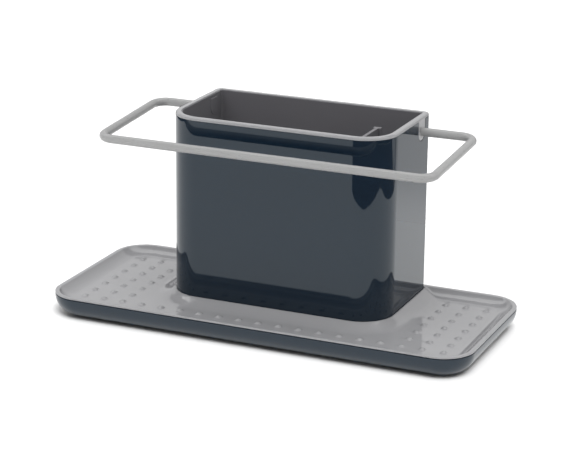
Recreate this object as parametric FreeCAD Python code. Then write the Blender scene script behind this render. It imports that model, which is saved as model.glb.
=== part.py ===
import FreeCAD, Part
import math
import os

# A kitchen sink caddy: a shallow water tray on rubber feet, a dished drip tray that rests in it,
# and at the back a deep container that stands on the drip tray and carries a swinging hanging rail.
# Millimetres. The origin is on the worktop under the middle of the tray. +X runs to the right along
# the tray, +Y to the back and +Z up.

# Tray plan, shared by the base and the drip tray
tray_length = 309.0
tray_depth = 133.0
tray_corner_radius = 23.0

# Rubber feet
foot_diameter = 16.0
foot_proud = 1.0
foot_recess = 1.0
foot_inset = 27.0
foot_edge_bevel = 0.4
foot_fit = 0.1

# Base tray
base_height = 15.0
base_wall = 2.4
base_floor = 2.4
base_edge_radius = 14.0
base_top_round = 0.4
ledge_lip = 1.0
ledge_depth = 1.4

# Drip tray
shadow_gap = 0.35
lip_height = 1.1
lip_round = 0.6
rim_land = 1.4
dish_depth = 5.1
dish_side_angle = 45.0
dish_edge_radius = 8.0
dish_side_radius = 6.5
tray_wall = 2.0
tray_fit = 0.4
skirt_wall = 2.2
skirt_drop = 2.0
collar_drop = 1.0
collar_land = 0.8
collar_run = 14.0
collar_sink = 0.05
seat_depth = 0.4
seat_gap = 0.6
upstand_fit = 0.4
upstand_wall = 1.8
upstand_height = 4.0
bump_pitch = 14.8
bump_diameter = 4.8
bump_height = 1.1
bump_margin = 5.0
tray_slot_width = 5.0
tray_slot_length = 26.0
tray_slot_pitch = 22.0
tray_slot_margin = 6.0

# Container: outer sleeve, inner liner and the rim that caps both
body_width = 162.6
body_depth = 87.8
body_height = 128.8
body_front_radius = 24.0
body_rear_radius = 5.0
body_corner_least = 1.5
body_rear_gap = 2.0
body_wall = 2.4
sleeve_foot_round = 0.5
rim_band = 2.0
rim_round = 0.7
rim_recess = 1.2
rim_fit = 0.05
liner_fit = 0.6
liner_wall = 2.0
liner_floor = 2.0
liner_floor_radius = 4.0
liner_drain_gap = 4.0
liner_slot_width = 4.0
liner_slot_length = 46.0
liner_slot_pitch = 20.0
liner_slot_margin = 5.0

# Divider moulded in the liner: a wall from the front that ends in a T
divider_wall = 2.4
divider_offset = 17.2
divider_drop = 1.2
divider_cap_width = 5.6
divider_cap_depth = 3.0
divider_reach_share = 0.5

# Hanging rail and its two pivots
rail_diameter = 6.0
rail_width = 241.0
rail_reach = 91.2
rail_bend_radius = 10.0
rail_droop_angle = 3.4
rail_swing_angle = 90.0
rail_flat = 0.8
rail_end_gap = 0.2
pivot_drop = 10.3
pivot_setback = 17.9
pivot_fit = 0.05
tongue_width = 12.4
tongue_fit = 0.4
pad_wall = 2.0
pad_reach = 2.5
pad_cap = 1.0
pad_round = 0.8

# Every cut runs this far past the face that it opens
overrun = 1.0
level_match = 1e-6
quarter_turn = math.pi / 2

# Levels and lines that the pieces share
base_bottom = foot_proud
base_top = base_bottom + base_height
ledge_level = base_top - ledge_depth
lip_bottom = base_top + shadow_gap
tray_top = lip_bottom + lip_height
dish_floor = tray_top - dish_depth
tray_underside = dish_floor - tray_wall
collar_top = tray_top - collar_drop
seat_level = collar_top - seat_depth
upstand_top = seat_level + upstand_height
rim_top = seat_level + body_height
sleeve_top = rim_top - rim_band

tray_front = -tray_depth / 2
tray_back = tray_depth / 2
body_side = body_width / 2
body_back = tray_back - body_rear_gap
body_front = body_back - body_depth
liner_inset = body_wall + liner_fit
rim_width = liner_inset + liner_wall
liner_bottom = upstand_top + liner_drain_gap
liner_floor_level = liner_bottom + liner_floor
liner_top = sleeve_top + rim_recess
divider_top = sleeve_top - divider_drop
pivot_y = body_back - pivot_setback
pivot_z = rim_top - pivot_drop
pivot_radius = rail_diameter / 2 + pivot_fit
pad_tip = body_side - rim_width - pad_reach
socket_end = pad_tip + pad_cap

# The dish's side: a round edge, a short slope and a round foot. Each round eats this share of its radius.
dish_slope = math.tan(math.radians(dish_side_angle))
dish_round_share = math.tan(math.radians(dish_side_angle) / 2)
dish_foot_inset = rim_land + dish_edge_radius * dish_round_share + dish_depth / dish_slope
dish_floor_inset = dish_foot_inset + dish_side_radius * dish_round_share

# The base's inner side leans in below its round's centre, and the skirt keeps clear of it
base_inner_radius = base_edge_radius - base_wall
base_hollow_low = base_bottom + base_floor
skirt_low = ledge_level - skirt_drop
skirt_dip = max(base_hollow_low + base_inner_radius - skirt_low, 0)
base_lean = base_inner_radius - math.sqrt(base_inner_radius ** 2 - skirt_dip ** 2)
skirt_inset = base_wall + base_lean + tray_fit


def point(x, y, z):
    return FreeCAD.Vector(x, y, z)


def line(start, end):
    return Part.LineSegment(start, end).toShape()


def level_arc(centre, radius, start_angle):
    """Quarter circle about a vertical axis, counter-clockwise from the start angle."""
    turns = (start_angle, start_angle + quarter_turn / 2, start_angle + quarter_turn)
    ends = [centre + point(radius * math.cos(turn), radius * math.sin(turn), 0) for turn in turns]
    return Part.Arc(*ends).toShape()


def joined(edges):
    """Wire of the given arcs with a straight line from each one's end to the next one's start."""
    chain = []
    for here, following in zip(edges, edges[1:] + edges[:1]):
        chain.append(here)
        chain.append(line(here.lastVertex().Point, following.firstVertex().Point))
    return Part.Wire(chain)


def rounded_plan(side, front, back, front_radius, back_radius, level):
    """Level face of a rectangle, symmetric in X, with its own front and back corner radii."""
    front_y = front + front_radius
    back_y = back - back_radius
    corners = [
        level_arc(point(front_radius - side, front_y, level), front_radius, 2 * quarter_turn),
        level_arc(point(side - front_radius, front_y, level), front_radius, 3 * quarter_turn),
        level_arc(point(side - back_radius, back_y, level), back_radius, 0),
        level_arc(point(back_radius - side, back_y, level), back_radius, quarter_turn),
    ]
    return Part.Face(joined(corners))


def tray_plan(inset, level):
    """Level face of the tray's outline, moved inwards by the inset."""
    radius = tray_corner_radius - inset
    return rounded_plan(tray_length / 2 - inset, tray_front + inset, tray_back - inset, radius, radius, level)


def tray_prism(inset, low, high):
    return tray_plan(inset, low).extrude(point(0, 0, high - low))


def body_prism(inset, low, high):
    """Upright block on the container's outline, moved inwards by the inset."""
    front_radius = body_front_radius - inset
    back_radius = max(body_rear_radius - inset, body_corner_least)
    plan = rounded_plan(body_side - inset, body_front + inset, body_back - inset, front_radius, back_radius, low)
    return plan.extrude(point(0, 0, high - low))


def body_ring(outer_inset, inner_inset, low, high):
    inside = body_prism(inner_inset, low - overrun, high + overrun)
    return body_prism(outer_inset, low, high).cut(inside)


def round_level(solid, level, radius):
    """Rounds every edge of the solid that lies in the level plane."""
    edges = [edge for edge in solid.Edges if all(abs(end.Z - level) < level_match for end in edge.Vertexes)]
    return solid.makeFillet(radius, edges)


def slot_prism(x, y, width, length, low, high):
    """Upright round-ended slot that runs along Y."""
    radius = width / 2
    straight = (length - width) / 2
    ends = [
        level_arc(point(x, y + straight, low), radius, 0),
        level_arc(point(x, y + straight, low), radius, quarter_turn),
        level_arc(point(x, y - straight, low), radius, 2 * quarter_turn),
        level_arc(point(x, y - straight, low), radius, 3 * quarter_turn),
    ]
    sides = [
        line(ends[1].lastVertex().Point, ends[2].firstVertex().Point),
        line(ends[3].lastVertex().Point, ends[0].firstVertex().Point),
    ]
    outline = Part.Wire([ends[0], ends[1], sides[0], ends[2], ends[3], sides[1]])
    return Part.Face(outline).extrude(point(0, 0, high - low))


def tongue_prism(side, half_width, low_x, high_x, top):
    """Upright tab with a half-round lower end about the rail's axis, on the side -1 or 1."""
    start = side * low_x
    left_top = point(start, pivot_y - half_width, top)
    left_low = point(start, pivot_y - half_width, pivot_z)
    right_low = point(start, pivot_y + half_width, pivot_z)
    right_top = point(start, pivot_y + half_width, top)
    round_end = Part.Arc(left_low, point(start, pivot_y, pivot_z - half_width), right_low).toShape()
    edges = [line(left_top, left_low), round_end, line(right_low, right_top), line(right_top, left_top)]
    return Part.Face(Part.Wire(edges)).extrude(point(side * (high_x - low_x), 0, 0))


def pivot_cylinder(side, radius, low_x, high_x):
    """Round bar on the rail's axis, on the side -1 or 1."""
    start = point(side * low_x, pivot_y, pivot_z)
    return Part.makeCylinder(radius, high_x - low_x, start, point(side, 0, 0))


def turned(shape, angle):
    """Copy of the shape, turned about the rail's axis so that a positive angle lowers its front."""
    copy = shape.copy()
    copy.rotate(point(0, pivot_y, pivot_z), point(1, 0, 0), angle)
    return copy


def foot_places():
    x = tray_length / 2 - foot_inset
    y = tray_depth / 2 - foot_inset
    return {"front_left": (-x, -y), "front_right": (x, -y), "rear_left": (-x, y), "rear_right": (x, y)}


def make_foot(x, y):
    foot = Part.makeCylinder(foot_diameter / 2, foot_proud + foot_recess, point(x, y, 0))
    lower_edge = [edge for edge in foot.Edges if edge.BoundBox.ZMax < level_match]
    return foot.makeChamfer(foot_edge_bevel, lower_edge)


def make_base_tray():
    outside = round_level(tray_prism(0, base_bottom, base_top), base_bottom, base_edge_radius)
    outside = round_level(outside, base_top, base_top_round)
    hollow = tray_prism(base_wall, base_hollow_low, base_top + overrun)
    hollow = round_level(hollow, base_hollow_low, base_inner_radius)
    ledge = tray_prism(ledge_lip, ledge_level, base_top + overrun)
    base = outside.cut(hollow).cut(ledge)
    for x, y in foot_places().values():
        recess_start = point(x, y, base_bottom - overrun)
        recess = Part.makeCylinder(foot_diameter / 2 + foot_fit, foot_recess + overrun, recess_start)
        base = base.cut(recess)
    return base


def dish_bowl(drop):
    """Block over the dish floor, with sloping sides and a round foot, grown on all sides by the drop."""
    low = dish_floor - drop
    high = tray_top + overrun
    low_inset = dish_foot_inset - drop * dish_round_share
    high_inset = low_inset - (high - low) / dish_slope
    outlines = [tray_plan(low_inset, low).OuterWire, tray_plan(high_inset, high).OuterWire]
    return round_level(Part.makeLoft(outlines, True, True), low, dish_side_radius + drop)


def dish_space():
    """What the dish takes out of the tray: the bowl, with the tray's inner edge rounded over into it."""
    block = tray_prism(0, tray_underside, tray_top)
    dished = block.cut(dish_bowl(0))
    side = tray_length / 2 - rim_land
    back = tray_back - rim_land
    inner_edges = []
    for edge in dished.Edges:
        ends = [end.Point for end in edge.Vertexes]
        level = all(abs(end.z - tray_top) < level_match for end in ends)
        inside = all(abs(end.x) < side and abs(end.y) < back for end in ends)
        if level and inside:
            inner_edges.append(edge)
    return block.cut(dished.makeFillet(dish_edge_radius, inner_edges))


def collar_ramp():
    """Concave ramp swept round the left, front and right sides of the container's foot."""
    outset = seat_gap + collar_land
    side = body_side + outset
    front = body_front - outset
    radius = body_front_radius + outset
    rear = tray_back + overrun
    corner_y = front + radius
    left_corner = level_arc(point(radius - side, corner_y, 0), radius, 2 * quarter_turn)
    right_corner = level_arc(point(side - radius, corner_y, 0), radius, 3 * quarter_turn)
    path = Part.Wire([
        line(point(-side, rear, 0), left_corner.firstVertex().Point),
        left_corner,
        line(left_corner.lastVertex().Point, right_corner.firstVertex().Point),
        right_corner,
        line(right_corner.lastVertex().Point, point(side, rear, 0)),
    ])
    foot_level = dish_floor - collar_sink
    rise = collar_top - foot_level
    ramp_radius = (collar_run ** 2 + rise ** 2) / (2 * rise)
    half_rise = ramp_radius - math.sqrt(ramp_radius ** 2 - (collar_run / 2) ** 2)
    top = point(-side, rear, collar_top)
    middle = point(-side - collar_run / 2, rear, foot_level + half_rise)
    toe = point(-side - collar_run, rear, foot_level)
    toe_low = point(-side - collar_run, rear, tray_underside)
    inner_low = point(-side + outset, rear, tray_underside)
    inner_top = point(-side + outset, rear, collar_top)
    section = Part.Wire([
        line(inner_top, top),
        Part.Arc(top, middle, toe).toShape(),
        line(toe, toe_low),
        line(toe_low, inner_low),
        line(inner_low, inner_top),
    ])
    return path.makePipeShell([section], True, False)


def bump_places():
    """Square grid about the tray's centre, left out on the dish's sides and on the collar."""
    x_free = tray_length / 2 - dish_floor_inset - bump_margin
    y_free = tray_depth / 2 - dish_floor_inset - bump_margin
    collar_reach = seat_gap + collar_land + collar_run + bump_margin
    columns = int(x_free // bump_pitch)
    rows = int(y_free // bump_pitch)
    places = []
    for column in range(-columns, columns + 1):
        for row in range(-rows, rows + 1):
            x = column * bump_pitch
            y = row * bump_pitch
            if abs(x) > body_side + collar_reach or y < body_front - collar_reach:
                places.append((x, y))
    return places


def make_bumps():
    ball_radius = ((bump_diameter / 2) ** 2 + bump_height ** 2) / (2 * bump_height)
    ball_level = dish_floor + bump_height - ball_radius
    cap_low = dish_floor - tray_wall / 2
    caps = []
    for x, y in bump_places():
        ball = Part.makeSphere(ball_radius, point(x, y, ball_level))
        sleeve = Part.makeCylinder(bump_diameter / 2, tray_wall + bump_height, point(x, y, cap_low))
        caps.append(ball.common(sleeve))
    return caps


def spread(low, high, margin, pitch):
    """Even places at the pitch, centred between two limits and clear of both by the margin."""
    count = int((high - low - 2 * margin) // pitch) + 1
    first = (low + high - (count - 1) * pitch) / 2
    return [first + index * pitch for index in range(count)]


def make_drip_tray():
    lip = round_level(tray_prism(0, lip_bottom, tray_top), tray_top, lip_round)
    step = tray_prism(ledge_lip + tray_fit, ledge_level, lip_bottom)
    shell = tray_prism(skirt_inset, tray_underside, ledge_level).common(dish_bowl(tray_wall))
    skirt_hole = tray_prism(skirt_inset + skirt_wall, skirt_low - overrun, ledge_level + overrun)
    skirt = tray_prism(skirt_inset, skirt_low, ledge_level).cut(skirt_hole)
    plate = lip.fuse([step, shell, skirt])

    collar = body_prism(-seat_gap - collar_land, tray_underside, collar_top).fuse(collar_ramp())
    plate = plate.cut(dish_space().cut(collar))

    upstand_inset = body_wall + upstand_fit
    drain_inset = upstand_inset + upstand_wall
    plate = plate.cut(body_prism(-seat_gap, seat_level, tray_top + overrun))
    plate = plate.cut(body_prism(drain_inset, dish_floor, tray_top + overrun))
    upstand = body_ring(upstand_inset, drain_inset, seat_level - seat_depth, upstand_top)
    plate = plate.fuse([upstand] + make_bumps())

    drain_side = body_side - drain_inset
    slots = []
    for x in spread(-drain_side, drain_side, tray_slot_margin, tray_slot_pitch):
        length_margin = tray_slot_margin + tray_slot_length / 2
        row_pitch = tray_slot_length + tray_slot_margin
        for y in spread(body_front + drain_inset, body_back - drain_inset, length_margin, row_pitch):
            low = tray_underside - overrun
            slots.append(slot_prism(x, y, tray_slot_width, tray_slot_length, low, dish_floor + overrun))
    return plate.cut(slots).removeSplitter()


def make_body_sleeve():
    outside = round_level(body_prism(0, seat_level, sleeve_top), seat_level, sleeve_foot_round)
    sleeve = outside.cut(body_prism(body_wall, seat_level - overrun, sleeve_top + overrun))
    for side in (-1, 1):
        inner = body_side - body_wall - overrun
        outer = body_side + overrun
        notch = tongue_prism(side, tongue_width / 2 + tongue_fit, inner, outer, sleeve_top + overrun)
        sleeve = sleeve.cut(notch)
    return sleeve


def rail_end(side, radius, flat, low_x, high_x):
    """Rail end with its front cut flat, which turns between two stops in the liner's socket."""
    bar = pivot_cylinder(side, radius, low_x, high_x)
    cut_size = 2 * rail_diameter
    corner = point(min(side * low_x, side * high_x), pivot_y - flat - cut_size, pivot_z - cut_size / 2)
    return bar.cut(Part.makeBox(high_x - low_x, cut_size, cut_size, corner))


def pivot_socket(side):
    """Blind hole that the flattened rail end sweeps on its way from one stop to the other."""
    mouth = body_side - liner_inset + overrun
    swept = rail_end(side, pivot_radius, rail_flat + pivot_fit, socket_end, mouth)
    return turned(swept, rail_droop_angle).fuse(turned(swept, rail_droop_angle - rail_swing_angle))


def divider_prism():
    """T-shaped wall from the front of the liner to half its depth."""
    inside_front = body_front + rim_width
    inside_depth = body_depth - 2 * rim_width
    x = body_side - rim_width - divider_offset
    half = divider_wall / 2
    cap_half = divider_cap_width / 2
    root = inside_front - liner_wall / 2
    cap_back = inside_front + divider_reach_share * inside_depth
    cap_front = cap_back - divider_cap_depth
    low = liner_floor_level - liner_floor / 2
    outline = Part.makePolygon([
        point(x - half, root, low),
        point(x + half, root, low),
        point(x + half, cap_front, low),
        point(x + cap_half, cap_front, low),
        point(x + cap_half, cap_back, low),
        point(x - cap_half, cap_back, low),
        point(x - cap_half, cap_front, low),
        point(x - half, cap_front, low),
        point(x - half, root, low),
    ])
    return Part.Face(outline).extrude(point(0, 0, divider_top - low))


def liner_slots():
    """Drain slots between the left wall and the divider, and one in the narrow pocket beside it."""
    inside = body_side - rim_width
    divider_x = inside - divider_offset
    middle_y = (body_front + body_back) / 2
    columns = spread(-inside, divider_x, liner_slot_margin + divider_cap_width / 2, liner_slot_pitch)
    columns.append((inside + divider_x) / 2)
    low = liner_bottom - overrun
    high = liner_floor_level + overrun
    return [slot_prism(x, middle_y, liner_slot_width, liner_slot_length, low, high) for x in columns]


def socket_pad(side):
    """Tab on the liner's inner wall, with a half-round lower end, that the rail's end turns in."""
    root = body_side - rim_width + liner_wall / 2
    pad = tongue_prism(side, pivot_radius + pad_wall, pad_tip, root, divider_top)
    tip_edges = [edge for edge in pad.Edges if abs(edge.CenterOfMass.x - side * pad_tip) < level_match]
    return pad.makeFillet(pad_round, tip_edges)


def make_inner_liner():
    outside = round_level(body_prism(liner_inset, liner_bottom, liner_top), liner_bottom, liner_floor_radius)
    hollow = body_prism(rim_width, liner_floor_level, liner_top + overrun)
    hollow = round_level(hollow, liner_floor_level, liner_floor_radius - liner_wall)
    liner = outside.cut(hollow).fuse([divider_prism(), socket_pad(-1), socket_pad(1)])
    for side in (-1, 1):
        liner = liner.cut(pivot_socket(side))
    return liner.cut(liner_slots()).removeSplitter()


def make_rim_frame():
    ring = round_level(body_ring(0, rim_width, sleeve_top, rim_top), rim_top, rim_round)
    recess_inset = liner_inset - rim_fit
    ring = ring.cut(body_ring(recess_inset, rim_width + overrun, sleeve_top - overrun, liner_top))
    for side in (-1, 1):
        inner = body_side - liner_inset
        tongue = tongue_prism(side, tongue_width / 2, inner, body_side, sleeve_top + rim_fit)
        ring = ring.fuse(tongue)
    for side in (-1, 1):
        ring = ring.cut(pivot_cylinder(side, pivot_radius, body_side - rim_width, body_side + overrun))
    return ring.removeSplitter()


def make_hanging_rail():
    half = rail_width / 2
    bend = rail_bend_radius
    tip = socket_end + rail_end_gap
    rear_y = pivot_y - bend
    front_y = pivot_y - rail_reach + bend
    rear_left = level_arc(point(bend - half, rear_y, pivot_z), bend, quarter_turn)
    front_left = level_arc(point(bend - half, front_y, pivot_z), bend, 2 * quarter_turn)
    front_right = level_arc(point(half - bend, front_y, pivot_z), bend, 3 * quarter_turn)
    rear_right = level_arc(point(half - bend, rear_y, pivot_z), bend, 0)
    start = point(-tip, pivot_y, pivot_z)
    finish = point(tip, pivot_y, pivot_z)
    path = Part.Wire([
        line(start, rear_left.firstVertex().Point),
        rear_left,
        line(rear_left.lastVertex().Point, front_left.firstVertex().Point),
        front_left,
        line(front_left.lastVertex().Point, front_right.firstVertex().Point),
        front_right,
        line(front_right.lastVertex().Point, rear_right.firstVertex().Point),
        rear_right,
        line(rear_right.lastVertex().Point, finish),
    ])
    section = Part.Wire(Part.makeCircle(rail_diameter / 2, start, point(1, 0, 0)))
    rail = path.makePipeShell([section], True, False)
    flat_stop = body_side - liner_inset + rail_end_gap
    for side in (-1, 1):
        full = pivot_cylinder(side, rail_diameter, tip - overrun, flat_stop)
        kept = rail_end(side, rail_diameter, rail_flat, tip - overrun, flat_stop)
        rail = rail.cut(full.cut(kept))
    return turned(rail, rail_droop_angle)


pieces = {
    "base_tray": make_base_tray(),
    "drip_tray": make_drip_tray(),
    "body_sleeve": make_body_sleeve(),
    "inner_liner": make_inner_liner(),
    "rim_frame": make_rim_frame(),
    "hanging_rail": make_hanging_rail(),
}
for place, (x, y) in foot_places().items():
    pieces["foot_" + place] = make_foot(x, y)

os.makedirs("parts", exist_ok=True)
for name, shape in pieces.items():
    shape.exportStep("parts/" + name + ".step")
    print(name, len(shape.Solids), shape.isValid(), round(shape.Volume))
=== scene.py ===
import math

import bmesh
import bpy
from mathutils import Matrix, Vector


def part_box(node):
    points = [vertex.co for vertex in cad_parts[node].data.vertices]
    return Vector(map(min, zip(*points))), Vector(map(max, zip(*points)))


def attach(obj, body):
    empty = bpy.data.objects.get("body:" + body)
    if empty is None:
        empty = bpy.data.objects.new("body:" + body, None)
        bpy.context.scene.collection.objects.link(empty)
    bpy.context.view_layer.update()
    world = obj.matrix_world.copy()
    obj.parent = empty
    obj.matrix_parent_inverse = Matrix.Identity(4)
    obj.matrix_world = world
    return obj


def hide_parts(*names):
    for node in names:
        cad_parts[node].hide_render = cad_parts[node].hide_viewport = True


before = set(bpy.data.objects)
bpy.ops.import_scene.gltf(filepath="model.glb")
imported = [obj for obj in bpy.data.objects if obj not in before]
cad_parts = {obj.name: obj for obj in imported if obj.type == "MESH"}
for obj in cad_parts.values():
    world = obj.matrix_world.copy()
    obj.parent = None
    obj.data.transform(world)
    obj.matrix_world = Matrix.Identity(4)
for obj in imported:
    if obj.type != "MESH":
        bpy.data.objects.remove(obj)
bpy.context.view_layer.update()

scene = bpy.context.scene
mm = 0.001  # pieces are modelled in millimetres and scaled once, when they are finished
weld = 0.001  # points nearer than this are one point
tolerance = 0.01  # places nearer than this count as the same when faces and edges are picked
overrun = 5  # how far a cutter runs past what it cuts
fullRound = 0.999  # share of a full round, so that the bevels at its two ends don't meet
print("frame loaded:", ", ".join(sorted(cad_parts)))


# nodes and colours

def hexToLinear(code):
    parts = [int(code[i:i + 2], 16) / 255 for i in (1, 3, 5)]
    return tuple(c / 12.92 if c <= 0.04045 else ((c + 0.055) / 1.055) ** 2.4 for c in parts) + (1.0,)


def addNode(tree, kind, settings=None, links=None):
    node = tree.nodes.new(kind)
    for name, value in (settings or {}).items():
        if isinstance(name, int) or name in node.inputs:
            node.inputs[name].default_value = value
        else:
            setattr(node, name, value)
    for name, source in (links or {}).items():
        tree.links.new(source, node.inputs[name])
    return node


def addNoise(tree, size, detail):
    # noise in the object's own space, with the size of its clouds in millimetres
    place = addNode(tree, "ShaderNodeTexCoord").outputs["Object"]
    settings = {"Scale": 1 / (size * mm), "Detail": detail}
    return addNode(tree, "ShaderNodeTexNoise", settings, {"Vector": place}).outputs["Fac"]


def mixTones(tree, deep, pale, share):
    settings = {"data_type": "RGBA", 6: hexToLinear(deep), 7: hexToLinear(pale)}
    return addNode(tree, "ShaderNodeMix", settings, {0: share}).outputs[2]


def startMaterial(name):
    material = bpy.data.materials.new(name)
    material.use_nodes = True
    tree = material.node_tree
    return material, tree, tree.nodes["Principled BSDF"]


# materials: tone, roughness and skin each follow a noise, given as its size in millimetres and its detail

def makeMaterial(name, look):
    material, tree, shader = startMaterial(name)
    tone = mixTones(tree, look["deep"], look["pale"], addNoise(tree, *look["cloud"]))
    spans = {"From Min": look["wearSpan"][0], "From Max": look["wearSpan"][1],
             "To Min": look["rough"][0], "To Max": look["rough"][1]}
    rough = addNode(tree, "ShaderNodeMapRange", spans, {"Value": addNoise(tree, *look["wear"])})
    relief = {"Strength": look["skinStrength"], "Distance": look["skinDepth"] * mm}
    bump = addNode(tree, "ShaderNodeBump", relief, {"Height": addNoise(tree, *look["skin"])})
    shader.inputs["IOR"].default_value = look["ior"]
    shader.inputs["Specular Tint"].default_value = look["tint"]
    tree.links.new(tone, shader.inputs["Base Color"])
    tree.links.new(rough.outputs["Result"], shader.inputs["Roughness"])
    tree.links.new(bump.outputs["Normal"], shader.inputs["Normal"])
    return material


# ABS from a polished mould: a deep slate blue under a skin that mirrors the room,
# with a faint waviness where the plastic shrank and a few dull wipe marks
glossAbs = makeMaterial("glossAbsSlate", {
    "deep": "#0d1a27", "pale": "#101e2b", "cloud": (70, 2), "wear": (22, 4), "wearSpan": (0.35, 0.75),
    "rough": (0.02, 0.05), "skin": (38, 0), "skinStrength": 0.25, "skinDepth": 0.02, "ior": 1.52,
    "tint": (0.86, 0.95, 1, 1)})

# light grey polypropylene from a fine-polished mould: an even, slightly milky grey
# whose gloss shows clear reflections at low angles and a soft sheen from above
greyPlastic = makeMaterial("polypropyleneLightGrey", {
    "deep": "#909092", "pale": "#969698", "cloud": (55, 3), "wear": (14, 4), "wearSpan": (0.3, 0.7),
    "rough": (0.04, 0.07), "skin": (2.2, 2), "skinStrength": 0.15, "skinDepth": 0.01, "ior": 1.49,
    "tint": (1, 1, 1, 1)})

# dark grey polypropylene from a spark-eroded mould: a fine grain that spreads the light to a satin;
# real spark grain is near 0.05 mm, drawn coarser so that it shows
darkPlastic = makeMaterial("polypropyleneDarkGrey", {
    "deep": "#69686c", "pale": "#706f73", "cloud": (40, 3), "wear": (0.9, 3), "wearSpan": (0, 1),
    "rough": (0.3, 0.42), "skin": (0.9, 3), "skinStrength": 0.2, "skinDepth": 0.03, "ior": 1.49,
    "tint": (1, 1, 1, 1)})

# powder coat on steel rod: an even grey with the slight orange peel of baked powder
powderCoat = makeMaterial("powderCoatedSteel", {
    "deep": "#959595", "pale": "#9c9c9c", "cloud": (30, 3), "wear": (1.4, 1), "wearSpan": (0, 1),
    "rough": (0.24, 0.34), "skin": (1.4, 1), "skinStrength": 0.3, "skinDepth": 0.03, "ior": 1.5,
    "tint": (1, 1, 1, 1)})

# black rubber: matt, a little dusty, with a fine pressed grain
rubber = makeMaterial("mattRubber", {
    "deep": "#141414", "pale": "#242322", "cloud": (5, 4), "wear": (5, 4), "wearSpan": (0, 1),
    "rough": (0.7, 0.9), "skin": (0.7, 2), "skinStrength": 0.4, "skinDepth": 0.05, "ior": 1.52,
    "tint": (1, 1, 1, 1)})
print("materials made")


# outlines, lofts and finishing

def roundCorners(bm, corners, radius, segments):
    bmesh.ops.bevel(bm, geom=corners, offset=radius, offset_type="OFFSET", segments=segments, profile=0.5,
                    affect="VERTICES", material=-1)


def roundEdges(bm, edges, radius, segments):
    bmesh.ops.bevel(bm, geom=edges, offset=radius, offset_type="OFFSET", segments=segments, profile=0.5,
                    affect="EDGES", material=-1)


def extrudeFaces(bm, faces, vec):
    made = bmesh.ops.extrude_face_region(bm, geom=faces)["geom"]
    bmesh.ops.translate(bm, vec=vec, verts=[v for v in made if isinstance(v, bmesh.types.BMVert)])


def addOutline(bm, plan, inset, level):
    # a rounded rectangle as a loop of edges: four corners, rounded by a vertex bevel
    side, low, high = plan["side"] - inset, plan["front"] + inset, plan["back"] - inset
    radii = plan["frontRadius"] - inset, max(plan["rearRadius"] - inset, plan["leastRadius"])
    before = set(bm.edges)
    places = ((-side, low), (side, low), (side, high), (-side, high))
    corners = [bm.verts.new((x, y, level)) for x, y in places]
    bm.faces.new(corners)
    for pair, radius in zip((corners[:2], corners[2:]), radii):
        roundCorners(bm, pair, radius, plan["segments"])
    edges = [edge for edge in bm.edges if edge not in before]
    bmesh.ops.delete(bm, geom=list(edges[0].link_faces), context="FACES_ONLY")
    return edges


def loftOutlines(bm, plan, stations, ring=False, roundSegments=6):
    # stations are (inset, level, edge radius)
    # a ring joins the last back to the first, else both ends are capped
    # the loops are bridged as a tall stack, where each meets its neighbour, and then moved to their levels
    storey = 100
    loops = [addOutline(bm, plan, station[0], k * storey) for k, station in enumerate(stations)]
    for here, following in zip(loops, loops[1:] + loops[:1] if ring else loops[1:]):
        bmesh.ops.bridge_loops(bm, edges=here + following)
    if not ring:
        for loop in (loops[0], loops[-1]):
            bmesh.ops.edgeloop_fill(bm, edges=loop)
    for k, (loop, station) in enumerate(zip(loops, stations)):
        verts = list({v for edge in loop for v in edge.verts})
        bmesh.ops.translate(bm, vec=(0, 0, station[1] - k * storey), verts=verts)
    for loop, (_, _, radius) in zip(loops, stations):
        if radius:
            roundEdges(bm, loop, radius, roundSegments)
    bmesh.ops.recalc_face_normals(bm, faces=bm.faces)


def arcStations(inset, level, radius, start, end, steps):
    # stations along an arc about (inset, level), at angles below the level in degrees
    angles = [math.radians(start + (end - start) * k / steps) for k in range(steps + 1)]
    return [(inset - radius * math.cos(a), level - radius * math.sin(a), 0) for a in angles]


def addSlot(bm, x, y, width, length, low, high, segments=6):
    # an upright round-ended bar, the cutter for one drain slot
    places = [(x + a * width / 2, y + b * length / 2) for a, b in ((-1, -1), (1, -1), (1, 1), (-1, 1))]
    corners = [bm.verts.new((a, b, low)) for a, b in places]
    bm.faces.new(corners)
    roundCorners(bm, corners, width / 2 * fullRound, segments)
    faces = [f for f in bm.faces if (f.calc_center_median().xy - Vector((x, y))).length < tolerance]
    extrudeFaces(bm, faces, (0, 0, high - low))


def combine(bm, tool, operation):
    # boolean of two closed shapes, with the result back in the first
    temps = []
    for source in (bm, tool):
        bmesh.ops.recalc_face_normals(source, faces=source.faces)
        mesh = bpy.data.meshes.new("temp")
        source.to_mesh(mesh)
        temps.append(bpy.data.objects.new("temp", mesh))
        scene.collection.objects.link(temps[-1])
    tool.free()
    cut = temps[0].modifiers.new("combine", "BOOLEAN")
    cut.operation, cut.solver, cut.object = operation, "EXACT", temps[1]
    done = bpy.data.meshes.new_from_object(temps[0].evaluated_get(bpy.context.evaluated_depsgraph_get()))
    bm.clear()
    bm.from_mesh(done)
    for mesh in [temp.data for temp in temps] + [done]:
        bpy.data.meshes.remove(mesh)


def finishPiece(bm, name, body, material, node, sharpAngle=32):
    bmesh.ops.remove_doubles(bm, verts=bm.verts, dist=weld)
    bmesh.ops.recalc_face_normals(bm, faces=bm.faces)
    bmesh.ops.scale(bm, vec=(mm, mm, mm), verts=bm.verts)
    for face in bm.faces:
        face.smooth = True
    for edge in bm.edges:
        edge.smooth = edge.is_manifold and edge.calc_face_angle() < math.radians(sharpAngle)
    openEdges = sum(not edge.is_manifold for edge in bm.edges)
    mesh = bpy.data.meshes.new(name)
    bm.to_mesh(mesh)
    bm.free()
    mesh.materials.append(material)
    piece = bpy.data.objects.new(name, mesh)
    scene.collection.objects.link(piece)
    even = piece.modifiers.new("evenShading", "WEIGHTED_NORMAL")
    even.keep_sharp = True
    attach(piece, body)
    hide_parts(node)
    print(name, "faces", len(mesh.polygons), "open edges", openEdges)
    return piece


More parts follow.
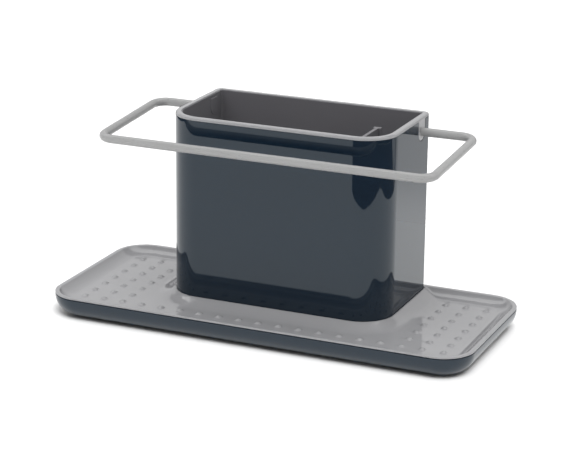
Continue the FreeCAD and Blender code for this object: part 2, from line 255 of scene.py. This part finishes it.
# plans that the pieces share, from the frame's boxes

def plainBox(node):
    low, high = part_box(node)
    return low / mm, high / mm


trayLow, trayHigh = plainBox("drip_tray")
baseLow, baseHigh = plainBox("base_tray")
sleeveLow, sleeveHigh = plainBox("body_sleeve")
linerLow, linerHigh = plainBox("inner_liner")
rimHigh = plainBox("rim_frame")[1]
railHigh = plainBox("hanging_rail")[1]

trayPlan = {"side": trayHigh.x, "front": trayLow.y, "back": trayHigh.y,
            "frontRadius": 23, "rearRadius": 23, "leastRadius": 1.5, "segments": 18}
bodyPlan = {"side": sleeveHigh.x, "front": sleeveLow.y, "back": sleeveHigh.y,
            "frontRadius": 24, "rearRadius": 5, "leastRadius": 1.5, "segments": 24}
bodyMiddle = (bodyPlan["front"] + bodyPlan["back"]) / 2


# base tray

base = {"edgeRound": 14, "outerSteps": 16, "innerSteps": 12, "topRound": 0.4, "lip": 1.0, "ledgeDrop": 1.4,
        "wall": 2.4}


def makeBaseTray():
    bm = bmesh.new()
    ledge = baseHigh.z - base["ledgeDrop"]
    outside = base["edgeRound"]
    inside = outside - base["wall"]
    centre = baseLow.z + outside
    start = math.degrees(math.asin((centre - ledge) / inside))
    loftOutlines(bm, trayPlan, arcStations(outside, centre, outside, 90, 0, base["outerSteps"]) + [
        (0, baseHigh.z, base["topRound"]),
        (base["lip"], baseHigh.z, base["topRound"] / 2),
        (base["lip"], ledge, 0),
    ] + arcStations(outside, centre, inside, start, 90, base["innerSteps"]), roundSegments=4)
    return finishPiece(bm, "baseTray", "base", glossAbs, "base_tray")


baseTray = makeBaseTray()


# drip tray: lofted lip, dish and underside, then the collar and the bumps raised out of its floor

tray = {"lipHeight": 1.1, "lipRound": 0.6, "lipLowRound": 0.2, "land": 2.5, "edgeRadius": 1.2, "edgeSteps": 4,
        "slope": 46, "footRadius": 15, "footSteps": 14, "dishDepth": 5.1,
        "underInset": 12.5, "underRadius": 8.5, "underSlope": 45, "underSteps": 4, "wall": 2.0, "step": 1.4,
        "skirt": 3.05, "skirtWall": 2.2, "skirtLow": 12.6, "ledge": 14.6,
        "collarDrop": 1.0, "collarLand": 1.4, "collarRun": 14, "collarSpan": 41, "collarStep": 1.6,
        "blend": 6,
        "bumpPitch": 14.8, "bumpColumns": 9, "bumpRows": 3, "bumpRadius": 2.65, "bumpHeight": 1.35,
        "bumpClear": 20.4, "bumpSteps": 4, "upFacing": 0.2,
        "seatDepth": 0.4, "seatGap": 0.6, "upstandInset": 2.8, "drainInset": 4.6, "upstandHeight": 4.0,
        "slotWidth": 5, "slotLength": 26, "slotPitch": 22, "slotColumns": 3, "slotRows": 32}


def bodyDistance(x, y):
    # how far a point is outside the container's plan, with the rear left open
    radius = bodyPlan["frontRadius"]
    across = abs(x) - (bodyPlan["side"] - radius)
    ahead = bodyPlan["front"] + radius - y
    if across > 0 and ahead > 0:
        return math.hypot(across, ahead) - radius
    return max(across, ahead) - radius


def raiseTray(x, y, rise):
    # rise is the dish's own height above its floor
    # the collar's ramp is blended in, and a bump stands on what is flat
    full = tray["dishDepth"] - tray["collarDrop"]
    curve = (tray["collarRun"] ** 2 + full ** 2) / (2 * full)
    out = bodyDistance(x, y) - tray["collarLand"]
    run = min(max(tray["collarRun"] - out, 0), tray["collarRun"])
    ramp = curve - math.sqrt(curve ** 2 - run ** 2)
    power = tray["blend"]
    height = min((rise ** power + ramp ** power) ** (1 / power), tray["dishDepth"])
    pitch = tray["bumpPitch"]
    column, row = round(x / pitch), round(y / pitch)
    away = math.hypot(x - column * pitch, y - row * pitch) / tray["bumpRadius"]
    clear = bodyDistance(column * pitch, row * pitch) > tray["bumpClear"]
    if away < 1 and clear and abs(column) <= tray["bumpColumns"] and abs(row) <= tray["bumpRows"]:
        height += tray["bumpHeight"] * (1 - away ** 2)
    return height


def trayStations(top, dishFloor):
    # underside and skirt from the middle outwards, then the lip, and the dish's side back down to its floor
    slope, edge, foot = tray["slope"], tray["edgeRadius"], tray["footRadius"]
    share = math.tan(math.radians(slope / 2))
    corner = tray["land"] + edge * share + tray["dishDepth"] / math.tan(math.radians(slope))
    upper = arcStations(tray["land"], top - edge, edge, -90, -90 - slope, tray["edgeSteps"])
    lower = arcStations(corner + foot * share, dishFloor + foot, foot, 90 - slope, 90, tray["footSteps"])
    lean, bend = tray["underSlope"], tray["underRadius"]
    underLevel = dishFloor - tray["wall"] + bend
    under = arcStations(tray["underInset"], underLevel, bend, 90, 90 - lean, tray["underSteps"])
    skirtInner = tray["skirt"] + tray["skirtWall"]
    skirtTop = under[-1][1] + (under[-1][0] - skirtInner) * math.tan(math.radians(lean))
    return under + [
        (skirtInner, skirtTop, 0),
        (skirtInner, tray["skirtLow"], 0),
        (tray["skirt"], tray["skirtLow"], 0),
        (tray["skirt"], tray["ledge"], 0),
        (tray["step"], tray["ledge"], 0),
        (tray["step"], top - tray["lipHeight"], 0),
        (0, top - tray["lipHeight"], tray["lipLowRound"]),
        (0, top, tray["lipRound"]),
    ] + upper + lower


def trayCuts():
    # a grid that is fine on the bumps and on the collar's ramp, for the right half
    pitch, steps, rows = tray["bumpPitch"], tray["bumpSteps"], tray["bumpRows"]
    offsets = [k / steps * tray["bumpRadius"] for k in range(-steps, steps + 1)]
    across = {round(c * pitch + offset, 3) for c in range(tray["bumpColumns"] + 1) for offset in offsets}
    along = {round(r * pitch + offset, 3) for r in range(-rows, rows + 1) for offset in offsets}
    rampEnd = tray["collarLand"] + tray["collarRun"]
    for k in range(int(tray["collarSpan"] / tray["collarStep"])):
        across.add(bodyPlan["side"] + rampEnd - k * tray["collarStep"])
        along.add(bodyPlan["front"] - rampEnd + k * tray["collarStep"])
    return {cut for cut in across if cut > tolerance}, along


def makeDripTray():
    bm = bmesh.new()
    top = trayHigh.z - tray["upstandHeight"] + tray["seatDepth"] + tray["collarDrop"]
    dishFloor = top - tray["dishDepth"]
    loftOutlines(bm, trayPlan, trayStations(top, dishFloor), roundSegments=4)

    # one half is cut into the grid, then raised and mirrored
    bmesh.ops.bisect_plane(bm, geom=bm.verts[:] + bm.edges[:] + bm.faces[:], plane_co=(0, 0, 0),
                           plane_no=(-1, 0, 0), clear_outer=True)
    for axis, cuts in zip((Vector((1, 0, 0)), Vector((0, 1, 0))), trayCuts()):
        for cut in sorted(cuts):
            bmesh.ops.bisect_plane(bm, geom=bm.verts[:] + bm.edges[:] + bm.faces[:], plane_co=axis * cut,
                                   plane_no=axis)
    upward = [f for f in bm.faces if f.normal.z > tray["upFacing"]]
    for v in {v for f in upward for v in f.verts if v.co.z > dishFloor - tolerance}:
        v.co.z = dishFloor + raiseTray(v.co.x, v.co.y, v.co.z - dishFloor)
    bmesh.ops.mirror(bm, geom=bm.verts[:] + bm.edges[:] + bm.faces[:], axis="X", merge_dist=weld)
    bmesh.ops.remove_doubles(bm, verts=bm.verts, dist=weld)
    bmesh.ops.recalc_face_normals(bm, faces=bm.faces)

    # seat for the container, with an upstand inside it and drain slots in its floor
    seat = top - tray["collarDrop"] - tray["seatDepth"]
    for inset, low in ((-tray["seatGap"], seat), (tray["drainInset"], dishFloor)):
        cutter = bmesh.new()
        loftOutlines(cutter, bodyPlan, [(inset, low, 0), (inset, trayHigh.z + overrun, 0)])
        combine(bm, cutter, "DIFFERENCE")
    upstand = bmesh.new()
    outer, inner, root = tray["upstandInset"], tray["drainInset"], seat - tray["seatDepth"]
    loftOutlines(upstand, bodyPlan, [(outer, root, 0), (outer, trayHigh.z, 0), (inner, trayHigh.z, 0),
                                     (inner, root, 0)], ring=True)
    combine(bm, upstand, "UNION")
    slots = bmesh.new()
    for column in range(-tray["slotColumns"], tray["slotColumns"] + 1):
        for row in (-0.5, 0.5):
            addSlot(slots, column * tray["slotPitch"], bodyMiddle + row * tray["slotRows"], tray["slotWidth"],
                    tray["slotLength"], dishFloor - overrun, dishFloor + overrun)
    combine(bm, slots, "DIFFERENCE")
    return finishPiece(bm, "dripTray", "drip_insert", greyPlastic, "drip_tray",
                       sharpAngle=40)


makeDripTray()


# container: sleeve, liner and rim

container = {"wall": 2.4, "footRound": 0.5, "topRound": 0.25, "linerInset": 3.0, "linerInner": 5.0,
             "floorRound": 4, "floorInner": 2, "floor": 2.0,
             "rimWidth": 4.3, "rimBand": 2.0, "rimRound": 1.7, "rimInner": 0.6, "rimLowRound": 0.15,
             "rimFit": 0.05,
             "pivotY": 46.6, "pivotDrop": 10.3, "pivotRadius": 3.05, "pivotSegments": 40,
             "tongueWidth": 12.4, "tongueFit": 0.4, "tongueRound": 0.35, "tongueRoot": 0.5,
             "tongueSegments": 14, "edgeSegments": 3}
pivotZ = rimHigh.z - container["pivotDrop"]
rimBase = rimHigh.z - container["rimBand"]


def addTongue(bm, side, halfWidth, innerX, outerX, top, edgeRound):
    # an upright tab with a half-round lower end about the rail's axis
    y, low = container["pivotY"], pivotZ - halfWidth
    places = ((y - halfWidth, low), (y + halfWidth, low), (y + halfWidth, top), (y - halfWidth, top))
    corners = [bm.verts.new((side * innerX, a, level)) for a, level in places]
    bm.faces.new(corners)
    roundCorners(bm, corners[:2], halfWidth * fullRound, container["tongueSegments"])
    faces = [f for f in bm.faces if abs(f.calc_center_median().x - side * innerX) < tolerance]
    extrudeFaces(bm, faces[:1], (side * (outerX - innerX), 0, 0))
    if edgeRound:
        outer = [e for e in bm.edges if all(abs(v.co.x - side * outerX) < weld for v in e.verts)]
        roundEdges(bm, outer, edgeRound, container["edgeSegments"])
    bmesh.ops.recalc_face_normals(bm, faces=bm.faces)


def cutPivot(bm, side, innerX, outerX):
    # round hole on the rail's axis
    bar = bmesh.new()
    ring = bmesh.ops.create_circle(bar, cap_ends=True, radius=container["pivotRadius"],
                                   segments=container["pivotSegments"])["verts"]
    bmesh.ops.rotate(bar, verts=ring, cent=(0, 0, 0), matrix=Matrix.Rotation(math.pi / 2, 3, "Y"))
    bmesh.ops.translate(bar, verts=ring, vec=(side * innerX, container["pivotY"], pivotZ))
    extrudeFaces(bar, bar.faces[:], (side * (outerX - innerX), 0, 0))
    combine(bm, bar, "DIFFERENCE")


def makeBodySleeve():
    bm = bmesh.new()
    loftOutlines(bm, bodyPlan, [
        (0, sleeveLow.z, container["footRound"]),
        (0, sleeveHigh.z, container["topRound"]),
        (container["wall"], sleeveHigh.z, container["topRound"]),
        (container["wall"], sleeveLow.z, 0),
    ], ring=True, roundSegments=4)
    notch = container["tongueWidth"] / 2 + container["tongueFit"]
    inside, outside = bodyPlan["side"] - container["wall"] - overrun, bodyPlan["side"] + overrun
    for side in (-1, 1):
        cutter = bmesh.new()
        addTongue(cutter, side, notch, inside, outside, sleeveHigh.z + overrun, 0)
        combine(bm, cutter, "DIFFERENCE")
    return finishPiece(bm, "bodySleeve", "sleeve", glossAbs, "body_sleeve")


makeBodySleeve()

# root is how far the divider and the pads reach into the walls that carry them
liner = {"dividerWall": 2.4, "dividerOffset": 17.2, "dividerDrop": 1.2, "capWidth": 5.6, "capDepth": 3.0,
         "reach": 0.5, "dividerRound": 0.3, "root": 1.0,
         "slotWidth": 4, "slotLength": 46, "slotPitch": 20, "slotMargin": 7.8,
         "padHalf": 5.05, "padReach": 0.4, "padRound": 0.35, "padCap": 0.9}


def makeInnerLiner():
    bm = bmesh.new()
    outer, inner = container["linerInset"], container["linerInner"]
    linerFloor = linerLow.z + container["floor"]
    loftOutlines(bm, bodyPlan, [
        (outer, linerLow.z, container["floorRound"]),
        (outer, linerHigh.z, 0),
        (inner, linerHigh.z, 0),
        (inner, linerFloor, container["floorInner"]),
    ], roundSegments=5)

    # T-shaped divider, rooted in the front wall and the floor
    wall = bodyPlan["side"] - inner
    insideFront, insideDepth = bodyPlan["front"] + inner, bodyPlan["back"] - bodyPlan["front"] - 2 * inner
    x = wall - liner["dividerOffset"]
    half, cap = liner["dividerWall"] / 2, liner["capWidth"] / 2
    capBack = insideFront + liner["reach"] * insideDepth
    capFront, stemFront = capBack - liner["capDepth"], insideFront - liner["root"]
    low, high = linerFloor - liner["root"], rimBase - liner["dividerDrop"]
    divider = bmesh.new()
    outline = [(x - half, stemFront), (x + half, stemFront), (x + half, capFront), (x + cap, capFront),
               (x + cap, capBack), (x - cap, capBack), (x - cap, capFront), (x - half, capFront)]
    face = divider.faces.new([divider.verts.new((a, b, low)) for a, b in outline])
    extrudeFaces(divider, [face], (0, 0, high - low))
    soft = [e for e in divider.edges if all(v.co.z > high - tolerance for v in e.verts)]
    roundEdges(divider, soft, liner["dividerRound"], container["edgeSegments"])
    combine(bm, divider, "UNION")

    # pads that the rail's ends turn in
    tip = wall - liner["padReach"]
    for side in (-1, 1):
        pad = bmesh.new()
        addTongue(pad, side, liner["padHalf"], wall + liner["root"], tip, high, liner["padRound"])
        combine(bm, pad, "UNION")
        cutPivot(bm, side, tip + liner["padCap"], bodyPlan["side"])

    # drain slots
    slots = bmesh.new()
    pitch = liner["slotPitch"]
    count = int((x + wall - 2 * liner["slotMargin"]) // pitch) + 1
    first = (x - wall - (count - 1) * pitch) / 2
    for place in [first + k * pitch for k in range(count)] + [x + liner["dividerOffset"] / 2]:
        addSlot(slots, place, bodyMiddle, liner["slotWidth"], liner["slotLength"], linerLow.z - overrun,
                linerFloor + overrun)
    combine(bm, slots, "DIFFERENCE")
    return finishPiece(bm, "innerLiner", "liner", darkPlastic, "inner_liner")


makeInnerLiner()


def makeRimFrame():
    bm = bmesh.new()
    width, leg = container["rimWidth"], container["linerInset"] - container["rimFit"]
    loftOutlines(bm, bodyPlan, [
        (0, rimBase, container["rimLowRound"]),
        (0, rimHigh.z, container["rimRound"]),
        (width, rimHigh.z, container["rimInner"]),
        (width, linerHigh.z, 0),
        (leg, linerHigh.z, 0),
        (leg, rimBase, 0),
    ], ring=True, roundSegments=5)
    outside = bodyPlan["side"]
    for side in (-1, 1):
        tongue = bmesh.new()
        addTongue(tongue, side, container["tongueWidth"] / 2, outside - leg, outside,
                  rimBase + container["tongueRoot"], container["tongueRound"])
        combine(bm, tongue, "UNION")
        cutPivot(bm, side, outside - width, outside + overrun)
    return finishPiece(bm, "rimFrame", "liner", greyPlastic, "rim_frame")


makeRimFrame()


# hanging rail: one circle carried along the rod's straights and bends, then lowered to its stop

rail = {"diameter": 6, "reach": 91.2, "bend": 10, "droop": 3.4, "tip": 76.9,
        "ringSegments": 28, "bendSteps": 14}


def makeHangingRail():
    bm = bmesh.new()
    y, z, bend = container["pivotY"], pivotZ, rail["bend"]
    ring = bmesh.ops.create_circle(bm, radius=rail["diameter"] / 2, segments=rail["ringSegments"])["verts"]
    bmesh.ops.rotate(bm, verts=ring, cent=(0, 0, 0), matrix=Matrix.Rotation(math.pi / 2, 3, "Y"))
    bmesh.ops.translate(bm, verts=ring, vec=(-rail["tip"], y, z))
    end = bm.edges[:]
    bmesh.ops.edgeloop_fill(bm, edges=end)

    # each straight with the centre of the bend that follows it
    side = railHigh.x - rail["diameter"] / 2 - bend
    rear, front = y - bend, y - rail["reach"] + bend
    stub, arm = side - rail["tip"], rail["reach"] - 2 * bend
    course = [((-stub, 0, 0), (-side, rear, z)), ((0, -arm, 0), (-side, front, z)),
              ((2 * side, 0, 0), (side, front, z)), ((0, arm, 0), (side, rear, z)), ((-stub, 0, 0), None)]
    for run, centre in course:
        made = bmesh.ops.extrude_edge_only(bm, edges=end)["geom"]
        bmesh.ops.translate(bm, vec=run, verts=[v for v in made if isinstance(v, bmesh.types.BMVert)])
        end = [e for e in made if isinstance(e, bmesh.types.BMEdge)]
        if centre:
            verts = list({v for e in end for v in e.verts})
            made = bmesh.ops.spin(bm, geom=verts + end, cent=centre, axis=(0, 0, 1), dvec=(0, 0, 0),
                                  angle=math.pi / 2, steps=rail["bendSteps"], use_duplicate=False)
            end = [e for e in made["geom_last"] if isinstance(e, bmesh.types.BMEdge)]
    bmesh.ops.edgeloop_fill(bm, edges=end)
    lowered = Matrix.Rotation(math.radians(rail["droop"]), 3, "X")
    bmesh.ops.rotate(bm, verts=bm.verts, cent=(0, y, z), matrix=lowered)
    return finishPiece(bm, "hangingRail", "rail", powderCoat, "hanging_rail")


makeHangingRail()


# feet: the frame's own shapes, with the rubber on their objects

for name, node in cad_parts.items():
    if name.startswith("foot_"):
        for place in node.material_slots:
            place.link = "OBJECT"
            place.material = rubber
print("feet dressed")


# floor, light and camera

studio = {"floorSize": 14, "floorTones": ("#c4c4c4", "#c8c8c8"), "floorCloud": (333, 2),
          "boxFacing": (0, -0.25, 0.97), "boxEdge": (0.64, 0.79), "boxLight": 2.1,
          "wallBlend": 0.3, "backLight": 0.85, "frontLight": 0.48,
          "washFrom": (0.35, -0.5, 0.8), "washLight": 4.0, "washSpread": 30}


def makeMatt(name, tones, cloud):
    material, tree, shader = startMaterial(name)
    shader.inputs["Roughness"].default_value = 1.0
    shader.inputs["Specular IOR Level"].default_value = 0.0
    tree.links.new(mixTones(tree, *tones, addNoise(tree, *cloud)), shader.inputs["Base Color"])
    return material


def addStage(name, bm, material):
    mesh = bpy.data.meshes.new(name)
    bm.to_mesh(mesh)
    bm.free()
    mesh.materials.append(material)
    item = bpy.data.objects.new(name, mesh)
    scene.collection.objects.link(item)
    return item


def makeFloor():
    bm = bmesh.new()
    bmesh.ops.create_grid(bm, x_segments=1, y_segments=1, size=studio["floorSize"] / 2)
    return addStage("floor", bm, makeMatt("paleFloor", studio["floorTones"], studio["floorCloud"]))


floor = makeFloor()


def makeWorld():
    # a broad soft box overhead, a pale wall behind the object and a dimmer room in front of it
    world = bpy.data.worlds.new("studioSky")
    scene.world = world
    world.use_nodes = True
    tree = world.node_tree
    facing = addNode(tree, "ShaderNodeTexCoord").outputs["Generated"]
    axes = addNode(tree, "ShaderNodeSeparateXYZ", links={"Vector": facing})
    blend, smooth = studio["wallBlend"], {"interpolation_type": "SMOOTHSTEP"}
    levels = {"From Min": -blend, "From Max": blend,
              "To Min": studio["frontLight"], "To Max": studio["backLight"]}
    wall = addNode(tree, "ShaderNodeMapRange", {**smooth, **levels}, {"Value": axes.outputs["Y"]})
    product = {"operation": "DOT_PRODUCT", 1: studio["boxFacing"]}
    towards = addNode(tree, "ShaderNodeVectorMath", product, {0: facing})
    edge = {"From Min": studio["boxEdge"][0], "From Max": studio["boxEdge"][1]}
    box = addNode(tree, "ShaderNodeMapRange", {**smooth, **edge}, {"Value": towards.outputs["Value"]})
    light = addNode(tree, "ShaderNodeMix", {"data_type": "FLOAT", 3: studio["boxLight"]},
                    {0: box.outputs["Result"], 2: wall.outputs["Result"]})
    tree.links.new(light.outputs[0], tree.nodes["Background"].inputs["Strength"])
    tree.nodes["Background"].inputs["Color"].default_value = (1, 1, 1, 1)


makeWorld()

# painted reflections, on cards that only reflections see and that light nothing and cast no shadow: the dark
# floor beyond the white sheet, given by the angle from the front towards the right and the distance, the dark
# ceiling on both sides of the soft box, the dark foot of the wall behind, and the far part of the sheet,
# which dims towards the back right
surround = {"centre": (0.06, 0.0), "outer": 2.6, "lift": 0.0006, "cloud": (500, 2),
            "floorTones": ("#5c5e63", "#64666b"), "roomTones": ("#1d1e21", "#242528"),
            "edge": [(-17, 0.56), (-16.5, 0.385), (-10, 0.365), (0, 0.35), (10, 0.34), (22, 0.332),
                     (34, 0.34), (48, 0.352), (62, 0.372), (72, 0.39), (80, 0.385), (88, 0.366),
                     (98, 0.354), (112, 0.35), (124, 0.356), (134, 0.37), (140, 0.40)],
            "halfWidth": 3.0, "ceilingLevel": 2.2, "ceilingDark": [(-2.4, 0.0), (1.1, 2.8)],
            "ceilingBox": (0.0, 1.1), "boxGlow": 2.4, "horizonBack": 2.2, "horizonHigh": 0.5,
            "farSide": (0.09, 1.6), "farNear": 0.25, "farFade": 0.17, "farGlow": (1.3, 0.95)}


# a card that only glossy rays see, so its colour is painted reflection: it lights nothing and casts no shadow
def addCard(name, bm, material):
    card = addStage(name, bm, material)
    card.visible_camera = card.visible_diffuse = card.visible_shadow = card.visible_transmission = False


def addCeiling(bm, front, back):
    half, level = surround["halfWidth"], surround["ceilingLevel"]
    places = ((-half, front), (-half, back), (half, back), (half, front))
    bm.faces.new([bm.verts.new((x, y, level)) for x, y in places])


def startGlow(name):
    material, tree, shader = startMaterial(name)
    shader.inputs["Base Color"].default_value = (0, 0, 0, 1)
    shader.inputs["Emission Color"].default_value = (1, 1, 1, 1)
    return material, tree, shader


def makeSurround():
    lift, cloud = surround["lift"], surround["cloud"]
    # painted reflection: a dark band on the floor round the white sheet, seen only in the gloss
    bm = bmesh.new()
    pairs = []
    for angle, near in surround["edge"]:
        across, ahead = math.sin(math.radians(angle)), math.cos(math.radians(angle))
        x, y = surround["centre"]
        pairs.append([bm.verts.new((x + r * across, y - r * ahead, lift)) for r in (near, surround["outer"])])
    for here, following in zip(pairs, pairs[1:]):
        bm.faces.new((here[0], here[1], following[1], following[0]))
    addCard("surround", bm, makeMatt("paintedReflectionDarkFloor", surround["floorTones"], cloud))

    # painted reflection: a dark ceiling beside the soft box and a dark foot of the wall behind, seen only in
    # the gloss
    bm = bmesh.new()
    for front, back in surround["ceilingDark"]:
        addCeiling(bm, front, back)
    half, wallBack, high = surround["halfWidth"], surround["horizonBack"], surround["horizonHigh"]
    places = ((-half, lift), (half, lift), (half, high), (-half, high))
    bm.faces.new([bm.verts.new((x, wallBack, z)) for x, z in places])
    addCard("paintedReflectionDarkRoom", bm, makeMatt("paintedReflectionDarkRoom", surround["roomTones"], cloud))

    # painted highlight: a glowing card that only the gloss sees, standing in for the soft box's reflection;
    # it lights nothing
    glow, _, shader = startGlow("paintedHighlightSoftBox")
    shader.inputs["Emission Strength"].default_value = surround["boxGlow"]
    bm = bmesh.new()
    addCeiling(bm, *surround["ceilingBox"])
    addCard("softBox", bm, glow)

    # painted reflection: a glowing card that stands in for the far part of the white sheet in the gloss,
    # dimmer towards the back right; it lights nothing
    far, tree, shader = startGlow("paintedReflectionFarSheet")
    shader.inputs["Specular IOR Level"].default_value = 0.0
    place = addNode(tree, "ShaderNodeTexCoord").outputs["Object"]
    axes = addNode(tree, "ShaderNodeSeparateXYZ", links={"Vector": place})
    near, levels = surround["farNear"], surround["farGlow"]
    fade = addNode(tree, "ShaderNodeMapRange", {
        "interpolation_type": "SMOOTHSTEP", "From Min": near, "From Max": near + surround["farFade"],
        "To Min": levels[0], "To Max": levels[1]}, {"Value": axes.outputs["Y"]})
    tree.links.new(fade.outputs["Result"], shader.inputs["Emission Strength"])
    left, right = surround["farSide"]
    bm = bmesh.new()
    places = ((left, near), (right, near), (right, wallBack), (left, wallBack))
    bm.faces.new([bm.verts.new((x, y, lift)) for x, y in places])
    addCard("paintedReflectionFarSheet", bm, far)


makeSurround()


def makeWash():
    # lights the sheet alone, from the front right, and only the base's shadow falls there
    wash = bpy.data.lights.new("floorWash", "SUN")
    wash.energy = studio["washLight"]
    wash.angle = math.radians(studio["washSpread"])
    lamp = bpy.data.objects.new("floorWash", wash)
    lamp.rotation_euler = Vector(studio["washFrom"]).to_track_quat("Z", "Y").to_euler()
    scene.collection.objects.link(lamp)
    roles = (("washLit", "receiver_collection", floor), ("washShade", "blocker_collection", baseTray))
    for name, role, item in roles:
        group = bpy.data.collections.new(name)
        group.objects.link(item)
        setattr(lamp.light_linking, role, group)


makeWash()

view = {"place": (0.544349, -1.263111, 0.504005), "heading": 23.1976, "tilt": -17.7228, "roll": 0.6328,
        "focalPixels": 2090.854, "imageWidth": 578, "sensor": 36}
camera = bpy.data.objects.new("camera", bpy.data.cameras.new("camera"))
scene.collection.objects.link(camera)
turn = (Matrix.Rotation(math.radians(view["heading"]), 4, "Z")
        @ Matrix.Rotation(math.radians(90 + view["tilt"]), 4, "X")
        @ Matrix.Rotation(math.radians(view["roll"]), 4, "Z"))
camera.matrix_world = Matrix.Translation(Vector(view["place"])) @ turn
camera.data.sensor_fit = "HORIZONTAL"
camera.data.sensor_width = view["sensor"]
camera.data.lens = view["focalPixels"] / view["imageWidth"] * view["sensor"]
scene.camera = camera
scene.view_settings.view_transform = "Standard"
print("stage, light and camera set")
